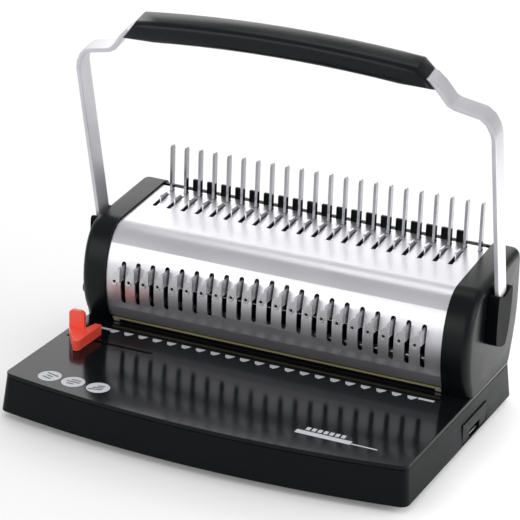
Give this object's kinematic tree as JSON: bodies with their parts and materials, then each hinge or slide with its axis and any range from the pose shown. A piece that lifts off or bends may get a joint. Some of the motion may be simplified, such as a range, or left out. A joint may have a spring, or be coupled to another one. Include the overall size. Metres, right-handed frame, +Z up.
{
  "type": "comb binding machine",
  "caption": "Manual comb binding machine: black base with paper table, silver slotted drum, row of upright comb pins and one wide steel handle with a black grip.",
  "frame": {"origin": "centre of the bounding box, on the surface the feet stand on", "axes": "+X to the machine's right along the drum, +Y to its rear, +Z up; the operator stands at -Y"},
  "size_m": [0.391, 0.278, 0.3394],
  "materials": {
    "black_plastic": "satin moulded",
    "black_paint": "gloss stove enamel",
    "silver_sheet": "satin silver enamel",
    "steel": "bright, lightly brushed",
    "zinc": "yellow zinc plated",
    "bar_steel": "satin pale grey",
    "red_plastic": "semi-gloss",
    "grip_black": "satin soft grip",
    "rubber": "matte"
  },
  "bodies": {
    "frame": {"base_housing": "black_plastic", "floor_plate": "steel", "table_plate": "black_paint", "die_plate": "steel", "punch_guide": "zinc", "slotted_cover": "silver_sheet", "rear_cover": "black_plastic", "comb_pins": "steel", "tooth_strip": "black_plastic", "left_cap": "black_plastic", "left_frame": "steel", "left_bush": "steel", "left_throat_spacer": "steel", "left_spring": "steel", "front_left_foot": "rubber", "rear_left_foot": "rubber", "right_cap": "black_plastic", "right_frame": "steel", "right_bush": "steel", "right_throat_spacer": "steel", "right_spring": "steel", "front_right_foot": "rubber", "rear_right_foot": "rubber"},
    "handle": {"handle_bar": "bar_steel", "grip": "grip_black", "pivot_shaft": "steel", "left_hub_cover": "black_plastic", "left_crank": "steel", "right_hub_cover": "black_plastic", "right_crank": "steel"},
    "punch_ram": {"punch_bar": "steel", "left_yoke": "steel", "right_yoke": "steel", "punch_01": "steel", "punch_02": "steel", "punch_03": "steel", "punch_04": "steel", "punch_05": "steel", "punch_06": "steel", "punch_07": "steel", "punch_08": "steel", "punch_09": "steel", "punch_10": "steel", "punch_11": "steel", "punch_12": "steel", "punch_13": "steel", "punch_14": "steel", "punch_15": "steel", "punch_16": "steel", "punch_17": "steel", "punch_18": "steel", "punch_19": "steel", "punch_20": "steel", "punch_21": "steel"},
    "comb_opener": {"opener_hooks": "steel"},
    "edge_guide": {"paper_guide": "red_plastic", "guide_clamp": "black_plastic"},
    "margin_control": {"margin_rod": "steel", "margin_knob": "black_plastic"},
    "tray": {"chip_tray": "black_plastic"}
  },
  "joints": [
    {"name": "handle_pivot", "type": "hinge", "parent": "frame", "child": "handle", "pos_m": [0, 0.066, 0.092], "axis": [1, 0, 0], "range_deg": [-10, 72], "stiffness_Nm_per_rad": 1.6, "springref_deg": -5.73},
    {"name": "punch_slide", "type": "slide", "parent": "frame", "child": "punch_ram", "axis": [0, 0, -1], "range_m": [-0.0027, 0.0188]},
    {"name": "comb_opener_slide", "type": "slide", "parent": "frame", "child": "comb_opener", "axis": [0, -1, 0], "range_m": [0, 0.012], "stiffness_N_per_m": 200, "springref_m": -0.003},
    {"name": "edge_guide_slide", "type": "slide", "parent": "frame", "child": "edge_guide", "axis": [1, 0, 0], "range_m": [-0.003, 0.06]},
    {"name": "margin_turn", "type": "hinge", "parent": "frame", "child": "margin_control", "pos_m": [0, 0.04, 0.062], "axis": [1, 0, 0], "range_deg": [0, 30]},
    {"name": "chip_tray_slide", "type": "slide", "parent": "frame", "child": "tray", "axis": [1, 0, 0], "range_m": [0, 0.18]}
  ],
  "couplings": [
    {"joint": "punch_slide", "follows": "handle_pivot", "m_per_rad": 0.0146}
  ]
}
